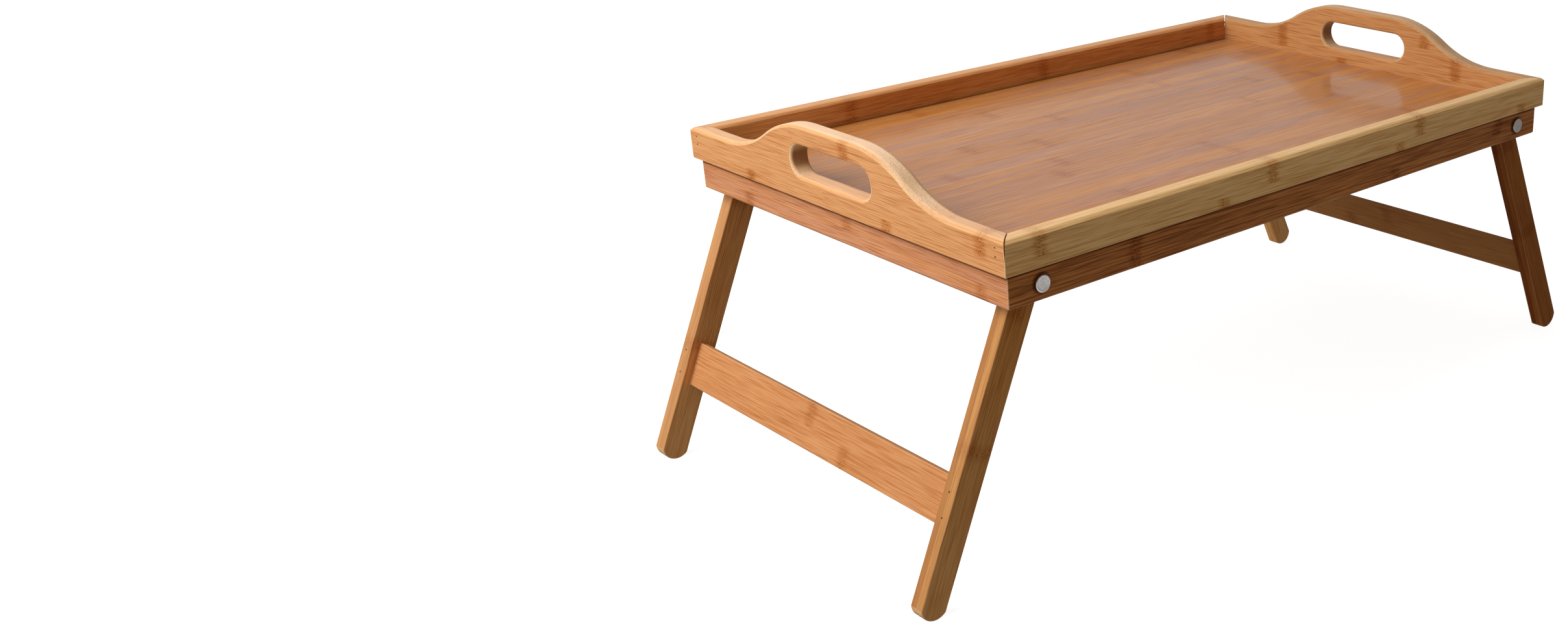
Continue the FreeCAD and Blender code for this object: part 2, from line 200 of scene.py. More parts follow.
def roughen(tree, shader, height, strength, depth):
    """Bumps a surface by a height from 0 to 1, as deep as depth in metres."""
    bump = add(tree, "ShaderNodeBump")
    bump.inputs["Strength"].default_value = strength
    bump.inputs["Distance"].default_value = depth
    feed(tree, bump.inputs["Height"], height)
    feed(tree, shader.inputs["Normal"], bump.outputs["Normal"])


print("finishes can be started and roughened")

# %% [markdown]
# ## The studio
#
# The table stands on one large pale floor with nothing else around it. A plane with a
# faintly mottled matt finish is enough, and a round wall in the same finish stands far
# behind it, so that a low view meets no horizon. Both glow like lit paper, so they stay
# white while the table itself is lit gently. They are hidden from bounced light and
# from reflections, because paper that glows all round would wash the shade out of the
# wood.
#
# The paper isn't quite even, so a very large soft noise shifts its grey and its
# roughness by a hair.

# %% Mix the backdrop's finish
backdrop_finish, tree, shader = new_finish("pale_floor")
spot = add(tree, "ShaderNodeTexCoord").outputs["Object"]
mottle = cloud(tree, spot, (1.7, 1.7, 1.7), detail=3.0)
greys = (0.43, 0.43, 0.43), (0.45, 0.45, 0.45)
feed(tree, shader.inputs["Base Color"], blend(tree, mottle, *greys))
feed(tree, shader.inputs["Roughness"], fade(tree, mottle, 0.3, 0.7, 0.80, 0.88))
shader.inputs["Specular IOR Level"].default_value = 0.2
shader.inputs["Emission Color"].default_value = (1.0, 1.0, 1.0, 1.0)
shader.inputs["Emission Strength"].default_value = 0.88
print("backdrop finish:", backdrop_finish.name)


# %% [markdown]
# The floor is a grid, and the wall is a cone without caps whose two ends are equal.
# Its faces are turned round, because it is seen from the inside. The wall casts no
# shadow, so the light of the world still reaches the table through it.

# %% Lay the floor and raise the wall
def finished_mesh(name, bm, finish):
    """Turns a bmesh into a mesh that wears a finish."""
    mesh = bpy.data.meshes.new(name)
    bm.to_mesh(mesh)
    bm.free()
    mesh.materials.append(finish)
    return mesh


floor_half, wall_radius = 14.0, 13.0
bm = bmesh.new()
bmesh.ops.create_grid(bm, x_segments=8, y_segments=8, size=floor_half)
floor = stand("studio_floor", finished_mesh("studio_floor", bm, backdrop_finish))

bm = bmesh.new()
bmesh.ops.create_cone(bm, cap_ends=False, segments=96, radius1=wall_radius,
                      radius2=wall_radius, depth=2 * wall_radius)
bmesh.ops.reverse_faces(bm, faces=bm.faces)
wall = stand("studio_wall", finished_mesh("studio_wall", bm, backdrop_finish))
wall.data.shade_smooth()
wall.visible_shadow = False
for backdrop in (floor, wall):
    backdrop.visible_diffuse = False
    backdrop.visible_glossy = False
print("floor is", 2 * floor_half, "m wide, and the wall stands", wall_radius, "m away")

# %% [markdown]
# ## The light
#
# Three big soft lights do the work. The key stands to the left and high, so the end
# boards and every upper edge are bright, and the long near side falls into a warm
# half shade. A wide box of light overhead gives the soft fall-off on the panel. A
# third one stands low behind the table, where a glossy panel reflects it towards the
# camera as a pale wash. The world adds a little light from everywhere.


# %% Hang the lights
def soft_box(name, place, target, size, power, colour=(1.0, 1.0, 1.0)):
    """A rectangle of light that faces a target."""
    data = bpy.data.lights.new(name, "AREA")
    data.shape = "RECTANGLE"
    data.size, data.size_y = size
    data.energy = power
    data.color = colour
    lamp = stand(name, data)
    lamp.location = place
    ray = Vector(target) - Vector(place)
    lamp.rotation_euler = ray.to_track_quat("-Z", "Y").to_euler()
    return lamp


middle = (0.0, 0.0, 0.15)
soft_box("key_left", (-1.4, 0.3, 1.1), middle, (1.2, 1.6), 34.0, (1.0, 0.97, 0.94))
soft_box("overhead", (-0.9, 0.5, 1.8), middle, (1.6, 1.6), 9.0)
soft_box("back_glow", (1.9, 2.2, 1.2), middle, (2.8, 1.6), 6.0)

world = bpy.data.worlds.new("studio_air")
world.use_nodes = True
air = world.node_tree.nodes["Background"]
air.inputs["Color"].default_value = (1.0, 0.96, 0.92, 1.0)
air.inputs["Strength"].default_value = 0.27
scene.world = world
scene.view_settings.view_transform = "Standard"
scene.view_settings.look = "None"

# %% [markdown]
# ## How bamboo is built
#
# A bamboo board isn't sawn from a trunk. The cane is split into strips about 20 mm
# wide and a few millimetres thick, and the strips are glued side by side and in
# layers. So the pattern has an order: which strip and which layer a point is in, and
# how far along the strip it is. If those three numbers are worked out from Object
# coordinates, the pattern goes right through the board. A face shows long fibres,
# and a curve that cuts across them shows their ends as dots, with no seams between.
#
# A Mapping node set to Texture turns the pattern: its x runs along the fibres, its y
# across the strips and its z through the layers. Only the two directions and one
# corner of the board have to be given.


# %% Turn a pattern to lie along a board
def grain_turn(along, across):
    """The rotation that lays x along the fibres and y across the strips."""
    x, y = Vector(along).normalized(), Vector(across).normalized()
    return Matrix((x, y, x.cross(y))).transposed().to_euler()


def lay(tree, socket, turn, corner=(0.0, 0.0, 0.0)):
    """A place or a direction, seen from the board's own grain."""
    mapping = add(tree, "ShaderNodeMapping", vector_type="TEXTURE")
    mapping.inputs["Location"].default_value = corner
    mapping.inputs["Rotation"].default_value = turn
    feed(tree, mapping.inputs["Vector"], socket)
    parted = add(tree, "ShaderNodeSeparateXYZ")
    feed(tree, parted.inputs[0], mapping.outputs[0])
    return mapping.outputs[0], parted.outputs


print("fibres along y, strips up:", [round(a, 3) for a in grain_turn((0, 1, 0), (0, 0, 1))])


# %% [markdown]
# Strips come from different canes, so each has its own tone. Rounding the place
# across the board down to a whole number names the strip, and a White Noise node
# turns that name into a fixed chance value. The same value pushes the fibres of each
# strip along by its own amount, so that a streak stops at the glue line.

# %% Split a board into strips
CANE_SHIFT = 5.0    # metres that a strip's fibres are pushed along, at most
GLUE_HALF = 0.0004


def strips(tree, s, w, t, board):
    """A strip's chance value, its own fibre place, its glue line, and its inner layer."""
    across = calc(tree, "SUBTRACT", w, board["joint"])
    across = calc(tree, "DIVIDE", across, board["strip"])
    layer = calc(tree, "SUBTRACT", t, board["layer_joint"])
    layer = calc(tree, "DIVIDE", layer, board["layer"])
    numbers = calc(tree, "FLOOR", across), calc(tree, "FLOOR", layer)
    name = joined(tree, *numbers, board["seed"])
    noise = add(tree, "ShaderNodeTexWhiteNoise", noise_dimensions="3D")
    feed(tree, noise.inputs["Vector"], name)
    parted = add(tree, "ShaderNodeSeparateColor")
    feed(tree, parted.inputs[0], noise.outputs["Color"])
    chance = parted.outputs[0]
    fibre = joined(tree, calc(tree, "MULTIPLY_ADD", chance, CANE_SHIFT, s), w, t)

    glue = 0.0
    for turns, size in ((across, board["strip"]), (layer, board["layer"])):
        off_middle = calc(tree, "SUBTRACT", calc(tree, "FRACT", turns), 0.5)
        gap = calc(tree, "SUBTRACT", 0.5, calc(tree, "ABSOLUTE", off_middle))
        to_glue = calc(tree, "MULTIPLY", gap, size)
        glue = calc(tree, "MAXIMUM", glue, fade(tree, to_glue, GLUE_HALF, 0.0))
    inner = calc(tree, "MULTIPLY", calc(tree, "LESS_THAN", layer, 0.0), board["inner"])
    return chance, fibre, glue, inner


print("strips can be told apart")


# %% [markdown]
# A cane has a wall across it every 20 to 30 cm, and each one leaves a node band on
# the strip: a darker patch less than a centimetre long with a row of small dark
# pits in it. What matters is the distance to the nearest band. On a narrow board each
# band is given as a place along the board and the part of the width that its strip
# covers. On the wide panel there are too many for that, so the strip's chance value
# shifts an even spacing.

# %% Find the nearest node band
def to_node_band(tree, s, w, t, chance, board):
    """Distance to the nearest node band of this strip, in metres."""
    ripple = cloud(tree, joined(tree, 0.0, w, t), (1.0, 330.0, 330.0), roughness=0.7)
    wavy = calc(tree, "MULTIPLY_ADD", ripple, 0.010, calc(tree, "SUBTRACT", s, 0.005))
    near = 1.0
    for along, low, high in board["bands"]:
        middle_w, half = (low + high) / 2, (high - low) / 2
        aside = calc(tree, "ABSOLUTE", calc(tree, "SUBTRACT", w, middle_w))
        outside = calc(tree, "GREATER_THAN", aside, half)
        away = calc(tree, "ABSOLUTE", calc(tree, "SUBTRACT", wavy, along))
        near = calc(tree, "MINIMUM", near, calc(tree, "ADD", away, outside))
    if board["spacing"]:
        turns = calc(tree, "MULTIPLY_ADD", wavy, 1.0 / board["spacing"], chance)
        away = calc(tree, "ABSOLUTE", calc(tree, "SUBTRACT", calc(tree, "FRACT", turns), 0.5))
        near = calc(tree, "MINIMUM", near, calc(tree, "MULTIPLY", away, board["spacing"]))
    return near


print("node bands can be found")


# %% [markdown]
# The fibres are seen at three sizes. Broad streaks a few millimetres wide drift along
# a strip. Fine lines of less than a millimetre cover all of it. And the cane's
# bundles, its little tubes, show as short dark dashes. Voronoi cells squeezed until
# they are thirty times longer than wide are a good copy of the bundles: a face cuts
# them lengthwise into dashes, and a sawn curve cuts them across into dots.

# %% Draw the bundles
def bundles(tree, place, size, reach):
    """1 inside a bundle and 0 between them. reach is how much of its cell one fills."""
    cells = add(tree, "ShaderNodeTexVoronoi", voronoi_dimensions="3D", feature="F1")
    feed(tree, cells.inputs["Vector"], stretched(tree, place, *size))
    cells.inputs["Scale"].default_value = 1.0
    return fade(tree, calc(tree, "DIVIDE", cells.outputs["Distance"], reach), 1.0, 0.45)


print("bundles can be drawn")


# %% [markdown]
# Where a board is rounded over or cut on a curve, sanding opens the wood and the
# varnish soaks in, so those surfaces are paler and drier than the flat faces. The
# Normal output of Texture Coordinate, turned like the pattern, tells them apart: on a
# flat face it points straight along one of the three directions, and on a rounded
# edge it points between two of them.

# %% Tell the surfaces of a board apart
def surfaces(tree, turn):
    """Masks of the end cuts, square end cuts, worn edges, narrow sides and wide faces."""
    facing = add(tree, "ShaderNodeTexCoord").outputs["Normal"]
    _, ways = lay(tree, facing, turn)
    along, across, through = [calc(tree, "MULTIPLY", way, way) for way in ways]
    most = calc(tree, "MAXIMUM", calc(tree, "MAXIMUM", along, across), through)
    return {
        "end": fade(tree, along, 0.01, 0.13),
        "square_end": fade(tree, along, 0.45, 0.85),
        "worn": fade(tree, most, 0.99, 0.62),
        "narrow": fade(tree, across, 0.52, 0.94),
        "wide": fade(tree, through, 0.52, 0.94),
    }


print("a board's surfaces can be told apart")


# %% [markdown]
# Every board has the same recipe and its own numbers. The list below holds the
# numbers that most boards share, and a board names only those that it changes. pale
# and deep are the two ends of a cane's tone. A board can also turn to a lighter tone
# towards one end: on the legs that is painted light, bounced up from the floor, and
# on the back rail it is lighter towards its left end. cut is the drier tone of narrow
# sides, edge that of worn edges, and sawn that of curved cuts, which turn darker where
# a cut stands square across the fibres, as at the round ends of the hand slots: darker
# end grain with painted shade.

# %% List what a board can change
BOARD = dict(
    # the lie of the grain, the strips and the layers
    along=(1, 0, 0), across=(0, 0, 1), corner=(0, 0, 0), seed=1.0,
    strip=0.020, joint=0.0, layer=0.0065, layer_joint=0.0, inner=0.0,
    # the tone of the cane, and a lighter tone towards one end, which on the legs is painted
    # floor bounce
    pale=(0.66, 0.34, 0.13), deep=(0.50, 0.20, 0.055), contrast=0.6, drift=0.38,
    rose=(0.42, 0.20, 0.11), rosy=0.0, faded=(0.92, 0.50, 0.19), fading=(),
    # its fibres and bundles
    lines=(0.80, 0.66, 0.50), fine=0.85, dash=0.60, dash_reach=0.38,
    # its node bands: places or an even spacing, shade, and the pits in them
    bands=(), spacing=0.0, band=0.55, node=0.0036,
    pit=(0.24, 0.085, 0.022), pit_size=0.42,
    # cut and sanded surfaces; square end cuts darken to end grain with painted shade
    cut=(0.72, 0.45, 0.23), top=0.0, crest=0.0, edge=(0.72, 0.45, 0.23), worn=0.25,
    sawn=(0.64, 0.40, 0.20), end_grain_and_shade=(0.31, 0.165, 0.072), pore=(0.26, 0.105, 0.035),
    # painted shade in corners, in metres from the board's own corner
    shaded_above=9.0, far_edge=0.0, bolts=(),
    # varnish
    sheen=0.44, gloss=0.08, coat=0.0, coat_rough=0.25, bump=0.35,
)
print("numbers that a board can change:", len(BOARD))


# %% [markdown]
# First come the patterns: the fibres in their three sizes, the pits of the node
# bands, and the open pores of a cut. Each is a number from 0 to 1, because the same
# patterns drive the colour, the sheen and the bump. The bundles grow towards a node
# band, where the cane's tubes crowd together.

# %% Draw the patterns
def patterns(tree, place, fibre, near, board):
    """The fibres, pits and pores at a place, each from 0 to 1."""
    reach = board["dash_reach"]
    reach = fade(tree, near, 0.030, 0.004, reach, reach + 0.14)
    pits = bundles(tree, place, (520.0, 760.0, 760.0), board["pit_size"])
    in_band = fade(tree, near, board["node"], board["node"] / 3)
    return {
        "broad": cloud(tree, fibre, (7.0, 320.0, 320.0), detail=3.0, roughness=0.62),
        "fine": cloud(tree, fibre, (26.0, 1400.0, 1400.0), roughness=0.6),
        "patch": cloud(tree, place, (9.0, 30.0, 30.0), detail=1.0),
        "blush": cloud(tree, fibre, (3.0, 110.0, 110.0), roughness=0.6),
        "dashes": bundles(tree, fibre, (34.0, 1250.0, 1250.0), reach),
        "pores": bundles(tree, fibre, (20.0, 1700.0, 1700.0), 0.44),
        "band": fade(tree, near, 0.0075, 0.0020),
        "pits": calc(tree, "MULTIPLY", pits, in_band),
    }


print("patterns can be drawn")


# %% [markdown]
# The colour of a face is laid on in the order in which the eye reads it: the strip's
# tone, a blush, a lighter tone towards one end, which on the legs is painted floor
# bounce, then the lines, the bundles, the node bands with their pits, and the glue
# lines. Darker marks multiply what is under them, as a stain does.

# %% Colour the faces
STREAK = (0.66, 0.42, 0.24)
BAND_SHADE = (0.80, 0.62, 0.42)
GLUE_SHADE = (0.50, 0.36, 0.24)


def stain(tree, pattern, strength, colour, shade):
    """Multiplies a colour by a shade where a pattern is."""
    return blend(tree, calc(tree, "MULTIPLY", pattern, strength), colour, shade, "MULTIPLY")


def cane_tone(tree, chance, inner, marks, board):
    """Where a point lies between the pale and the deep tone of its cane."""
    tone = calc(tree, "MULTIPLY_ADD", chance, board["contrast"], inner)
    broad = calc(tree, "SUBTRACT", marks["broad"], 0.5)
    tone = calc(tree, "MULTIPLY_ADD", broad, 2.2 * board["drift"], tone)
    patch = calc(tree, "SUBTRACT", marks["patch"], 0.5)
    return calc(tree, "MULTIPLY_ADD", patch, 0.5, tone, clamp=True)


def face_colour(tree, s, tone, glue, marks, sides, board):
    """The colour of a board's faces, before the cuts."""
    colour = blend(tree, tone, board["pale"], board["deep"])
    blush = calc(tree, "MULTIPLY", fade(tree, marks["blush"], 0.44, 0.60), board["rosy"])
    colour = blend(tree, blush, colour, board["rose"])
    # a lighter tone towards one end; on the legs it is painted light bounced up from the
    # floor
    if board["fading"]:
        lighter_share = fade(tree, s, *board["fading"], 0.0, 0.75)
        lighter_share = calc(tree, "MULTIPLY", sides["wide"], lighter_share)
        colour = blend(tree, lighter_share, colour, board["faded"])
    lines = fade(tree, marks["fine"], 0.58, 0.36)
    colour = stain(tree, lines, board["fine"], colour, board["lines"])
    colour = stain(tree, marks["dashes"], board["dash"], colour, STREAK)
    colour = stain(tree, marks["band"], board["band"], colour, BAND_SHADE)
    colour = blend(tree, calc(tree, "MULTIPLY", marks["pits"], 0.75), colour, board["pit"])
    return stain(tree, glue, 0.35, colour, GLUE_SHADE)


print("faces can be coloured")


# %% [markdown]
# Then come the cuts. A narrow side or a top is sanded drier than a face, most of all
# on the crest of an end board, where hands have rubbed it. An end cut shows the pores
# as dots, and where it stands square across the fibres it is darker end grain with
# painted shade. Last of all comes painted shade: the colour darkens close under the
# rim, along the panel's far edge and round each bolt, where shade falls.

# %% Colour the cuts and paint shade into the corners
RAIL_TOP, CREST = 0.021, 0.030    # heights above the foot of a rail or an end board
# the colour of the painted shade in corners
PAINTED_SHADE_TINT = (0.30, 0.20, 0.14)


def cut_colour(tree, w, colour, marks, sides, board):
    """Lays the paler sanded and sawn surfaces over a board's colour."""
    dry = fade(tree, w, RAIL_TOP, CREST, board["top"], board["crest"])
    colour = blend(tree, calc(tree, "MULTIPLY", sides["narrow"], dry), colour, board["cut"])
    # where a cut stands square across the fibres, as at the round ends of the hand slots, it
    # darkens to end grain with painted shade
    open_wood = blend(tree, sides["square_end"], board["sawn"], board["end_grain_and_shade"])
    dots = calc(tree, "MULTIPLY", marks["pores"], 0.55)
    open_wood = blend(tree, dots, open_wood, board["pore"])
    colour = blend(tree, calc(tree, "MULTIPLY", sides["end"], 0.85), colour, open_wood)
    rubbed = calc(tree, "MULTIPLY", sides["worn"], board["worn"])
    return blend(tree, rubbed, colour, board["edge"])


def painted_corner_shade(tree, s, w, board):
    """Shares of painted shade: under the rim, along the far edge, and round each bolt."""
    start = board["shaded_above"]
    yield fade(tree, w, start, start + 0.0011, 0.0, 0.9)
    if board["far_edge"]:
        yield fade(tree, w, board["far_edge"] - 0.0036, board["far_edge"] - 0.0020)
    for along, across in board["bolts"]:
        aside, above = calc(tree, "SUBTRACT", s, along), calc(tree, "SUBTRACT", w, across)
        away = calc(tree, "MULTIPLY_ADD", aside, aside, calc(tree, "MULTIPLY", above, above))
        yield fade(tree, calc(tree, "SQRT", away), 0.0074, 0.0054, 0.0, 0.75)


print("cuts and corners can be coloured")


# %% [markdown]
# The patterns also drive the sheen and a very shallow bump, because a bundle is a
# tiny groove that varnish doesn't quite fill, and open wood drinks the varnish and
# goes dull. Numbers that are the same everywhere, such as the weight of the varnish
# coat, are written straight on the shader.

# %% Mix a bamboo finish
def varnish(tree, shader, glue, marks, sides, board):
    """Sets the sheen, the coat and the shallow bump of a board."""
    smooth = calc(tree, "SUBTRACT", 0.5, marks["fine"])
    sheen = calc(tree, "MULTIPLY_ADD", smooth, 0.12, board["sheen"])
    sheen = calc(tree, "MULTIPLY_ADD", marks["dashes"], 0.08, sheen)
    sheen = calc(tree, "MULTIPLY_ADD", sides["end"], 0.18, sheen, clamp=True)
    feed(tree, shader.inputs["Roughness"], sheen)
    shader.inputs["Specular IOR Level"].default_value = board["gloss"]
    shader.inputs["Coat Weight"].default_value = board["coat"]
    shader.inputs["Coat Roughness"].default_value = board["coat_rough"]
    shader.inputs["Coat IOR"].default_value = 1.45

    height = calc(tree, "MULTIPLY_ADD", marks["dashes"], -0.8, marks["fine"])
    height = calc(tree, "MULTIPLY_ADD", marks["pits"], -1.2, height)
    height = calc(tree, "MULTIPLY_ADD", glue, -0.5, height)
    roughen(tree, shader, height, board["bump"], 0.0003)


def bamboo(name, **changes):
    """A solid bamboo finish, laid along one board."""
    board = dict(BOARD, **changes)
    finish, tree, shader = new_finish(name)
    turn = grain_turn(board["along"], board["across"])
    spot = add(tree, "ShaderNodeTexCoord").outputs["Object"]
    place, (s, w, t) = lay(tree, spot, turn, board["corner"])
    chance, fibre, glue, inner = strips(tree, s, w, t, board)
    near = to_node_band(tree, s, w, t, chance, board)
    marks = patterns(tree, place, fibre, near, board)
    sides = surfaces(tree, turn)

    tone = cane_tone(tree, chance, inner, marks, board)
    colour = face_colour(tree, s, tone, glue, marks, sides, board)
    colour = cut_colour(tree, w, colour, marks, sides, board)
    # painted shade: the colour darkens under the rim, along the far edge and round each bolt
    for shade_share in painted_corner_shade(tree, s, w, board):
        colour = blend(tree, shade_share, colour, PAINTED_SHADE_TINT, "MULTIPLY")
    feed(tree, shader.inputs["Base Color"], colour)
    varnish(tree, shader, glue, marks, sides, board)
    return finish


def wear(node, finish):
    """Gives a piece of the frame its finish."""
    for slot in parts[node].material_slots:
        slot.material = finish


print("the bamboo recipe is ready")

# %% [markdown]
# ## The rim
#
# The front rail is pale, almost straw coloured, and two strips high, so its node
# bands come at different places in the upper and the lower part. The back rail is
# from darker, more orange cane. The end boards are honey coloured and have three
# strips, one above the other, which the arch and the hand slot cut through.

# %% Finish the rails
rail_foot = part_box("front_rail")[0].z
rail_low = 0.0065
wear("front_rail", bamboo(
    "straw_bamboo_front_rail", corner=(0, -0.150, rail_foot), joint=rail_low, seed=3.0,
    bands=((-0.2256, rail_low, 0.03), (-0.041, rail_low, 0.03), (0.104, rail_low, 0.03),
           (-0.084, -0.01, rail_low), (0.0835, -0.01, rail_low), (0.222, -0.01, rail_low)),
    pale=(0.93, 0.60, 0.26), deep=(0.76, 0.44, 0.155), contrast=0.45, dash=0.5, band=0.8,
    node=0.0045, pit_size=0.46, cut=(0.72, 0.51, 0.30), top=0.5, edge=(0.70, 0.45, 0.21)))
wear("back_rail", bamboo(
    "amber_bamboo_back_rail", corner=(0, 0.150, rail_foot), joint=0.030, seed=5.0,
    bands=((-0.135, -0.01, 0.03), (0.039, -0.01, 0.03), (0.220, -0.01, 0.03)),
    pale=(0.74, 0.30, 0.088), deep=(0.56, 0.19, 0.043), fading=(-0.10, -0.24),
    cut=(0.76, 0.50, 0.29), top=0.5))
print("rails stand from", round(rail_foot, 4), "m, with a glue line", rail_low, "m above")


# %% [markdown]
# The two end boards share one finish. The right one stands further from the key light
# and is of slightly darker cane, so its colours are the left one's under a shade that
# is partly painted shade for its place away from the key light. Its node bands have
# places of their own, each in one of the three strips.

# %% Finish the end boards
def tinted(colour, shade):
    """A colour under a shade, channel by channel."""
    return [part * share for part, share in zip(colour, shade)]


def end_board(side, x, seed, shade, bands):
    """Gives an end board its finish."""
    wear(side + "_end_board", bamboo(
        "honey_bamboo_" + side + "_end", along=(0, 1, 0), across=(0, 0, 1),
        corner=(x, 0, rail_foot), joint=end_joint, seed=seed, bands=bands, contrast=0.25,
        pale=tinted((0.74, 0.395, 0.178), shade), deep=tinted((0.69, 0.35, 0.15), shade),
        band=0.85, node=0.0050, pit_size=0.46, worn=0.5, top=0.35, crest=0.75,
        cut=tinted((0.90, 0.65, 0.45), shade), sawn=tinted((0.84, 0.59, 0.38), shade),
        edge=tinted((0.55, 0.33, 0.15), shade)))


end_joint = 0.0075
low, middle_strip, high = (-0.01, end_joint), (end_joint, 0.0275), (0.0275, 0.06)
end_board("left", -0.250, 7.0, (1.0, 1.0, 1.0), (
    (-0.0547, *low), (0.090, *low), (-0.1416, *middle_strip), (-0.0165, *high)))
# the right board's shade is partly darker cane and partly painted shade
end_board("right", 0.250, 9.0, (0.72, 0.68, 0.62), (
    (0.0200, *low), (0.0833, *middle_strip), (-0.0915, *middle_strip), (-0.0618, *high)))
print("end boards are three strips high, parted at", end_joint, "and", high[0], "m")

# %% [markdown]
# ## The panel
#
# The panel is the glossiest piece. It is made of strips laid lengthwise with quite
# different tones, from orange to a dull rose, and several coats of varnish give it a
# soft mirror that picks up the rim and the light behind the table. The node bands are
# spread by chance here, and the far edge, where it goes under the back rail, is
# darkened with painted shade.

# %% Finish the panel
panel_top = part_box("tray_panel")[1].z
back_rail_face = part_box("back_rail")[0].y
wear("tray_panel", bamboo(
    "varnished_bamboo_panel", along=(1, 0, 0), across=(0, 1, 0), corner=(0, 0, panel_top),
    joint=0.004, strip=0.0205, layer=0.01, layer_joint=0.003, seed=11.0, spacing=0.27,
    pale=(0.60, 0.265, 0.073), deep=(0.41, 0.145, 0.030), contrast=0.5, drift=0.55,
    rose=(0.42, 0.20, 0.125), rosy=0.75, fine=0.8, dash=0.35, band=0.40,
    # painted shade along the far edge, where it goes under the back rail
    cut=(0.70, 0.40, 0.18), worn=0.2, far_edge=back_rail_face,
    sheen=0.40, gloss=0.25, coat=0.38, coat_rough=0.12, bump=0.15))
print("panel lies at", round(panel_top, 4), "m, up to", round(back_rail_face, 4), "m back")

# %% [markdown]
# ## The skirt
#
# The skirt boards are set in a little under the rim, so a line of shade lies above
# them, and it is painted into their colour. The end skirts are a pinkish tan, and the
# long ones are the darkest bamboo on the table, a red brown from cane that was steamed
# for longer.

# %% Find the bolts
HEAD_RADIUS = 0.0051
skirt_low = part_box("front_skirt")[0].z
skirt_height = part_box("front_skirt")[1].z - skirt_low
bolt_low, bolt_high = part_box("pivot_bolts")
bolt_x = (bolt_high.x - bolt_low.x) / 2 - HEAD_RADIUS
bolt_z = (bolt_high.z + bolt_low.z) / 2
print("bolts at x", round(bolt_x, 4), "z", round(bolt_z, 4))

# %% [markdown]
# With the bolts found, each skirt board gets its places for the node bands, and the
# long ones a ring of painted shade round every bolt head.

# %% Finish the skirts
skirt_joint = 0.008
for side, y, seed, bands in (
        ("front", -0.154, 13.0, ((-0.1526, -0.01, 0.03), (0.0842, -0.01, skirt_joint),
                                 (0.200, skirt_joint, 0.03))),
        ("back", 0.154, 15.0, ((-0.060, -0.01, 0.03), (0.170, -0.01, 0.03)))):
    wear(side + "_skirt", bamboo(
        "steamed_bamboo_" + side + "_skirt", corner=(0, y, skirt_low), joint=skirt_joint,
        seed=seed, bands=bands, pale=(0.66, 0.26, 0.072), deep=(0.38, 0.12, 0.024),
        contrast=0.4, drift=0.5, lines=(0.50, 0.42, 0.34), fine=1.0, band=0.8, node=0.0060,
        pit=(0.09, 0.03, 0.01), pit_size=0.5, cut=(0.52, 0.25, 0.09),
        # a line of painted shade just under the rim, and a ring of painted shade round each
        # bolt
        shaded_above=skirt_height - 0.0032,
        bolts=[(hand * bolt_x, bolt_z - skirt_low) for hand in (-1, 1)]))
end_skirt_joint = 0.010
for side, x, seed, bands in (
        ("left", -0.241, 17.0, ((-0.0066, end_skirt_joint, 0.03),
                                (0.1023, -0.01, end_skirt_joint),
                                (-0.135, -0.01, end_skirt_joint))),
        ("right", 0.241, 19.0, ((0.050, end_skirt_joint, 0.03),
                                (-0.090, -0.01, end_skirt_joint)))):
    wear(side + "_skirt", bamboo(
        "rosy_bamboo_" + side + "_skirt", along=(0, 1, 0), corner=(x, 0, skirt_low),
        joint=end_skirt_joint, seed=seed, bands=bands, pale=(0.60, 0.285, 0.13),
        deep=(0.44, 0.165, 0.065), contrast=0.4, drift=0.7, rose=(0.50, 0.235, 0.145),
        # a line of painted shade just under the end board
        rosy=0.5, cut=(0.66, 0.40, 0.22), shaded_above=skirt_height - 0.0037))
print("skirts are", round(skirt_height, 4), "m high")

# %% [markdown]
# ## The leg frames
#
# Each leg is two layers of cane glued face to face, and the seam between them runs
# down the middle of its narrow side, with the inner layer darker. The legs lean, so
# their pattern is turned by the same angle, with the bolt as its corner. Each leg is
# from another cane. The colour of each leg and stretcher is multiplied by a share that
# is partly the tone of its cane and partly painted light and shade for how brightly it
# is lit. Three legs lighten towards the foot, which is painted light bounced up from
# the floor, and the right front one is dark all the way down. The stretchers are flat
# strips, each cut from a single wide piece of cane.

# %% Choose the cane and the painted light of each leg and stretcher
# partly cane tone, partly painted light and shade: each share brightens or darkens a leg or
# stretcher for how it is lit
CANE_TONES_AND_PAINTED_LIGHT = {
    "left_front": (0.97, 0.90, 0.74), "left_back": (1.0, 0.95, 0.92),
    "right_front": (0.60, 0.44, 0.28), "right_back": (1.16, 1.24, 1.30),
    "left": (1.0, 1.0, 1.05), "right": (0.86, 0.80, 0.56),
}
LEG_LEAN = radians(24)
LEG_SEAM = 0.1433
# painted light: the legs lighten towards the foot for light bounced up from the floor
PAINTED_FOOT_BOUNCE = (0.03, 0.19)    # where a leg's cane starts and ends its lightening
print("canes for the legs and stretchers:", len(CANE_TONES_AND_PAINTED_LIGHT))


# %% [markdown]
# The four legs and two stretchers differ only in their cane with its painted light,
# their side and their seed, so one function for each does for all of them. The left
# and the right leg frame lean opposite ways, and a hand of -1 or 1 turns the
# directions round.

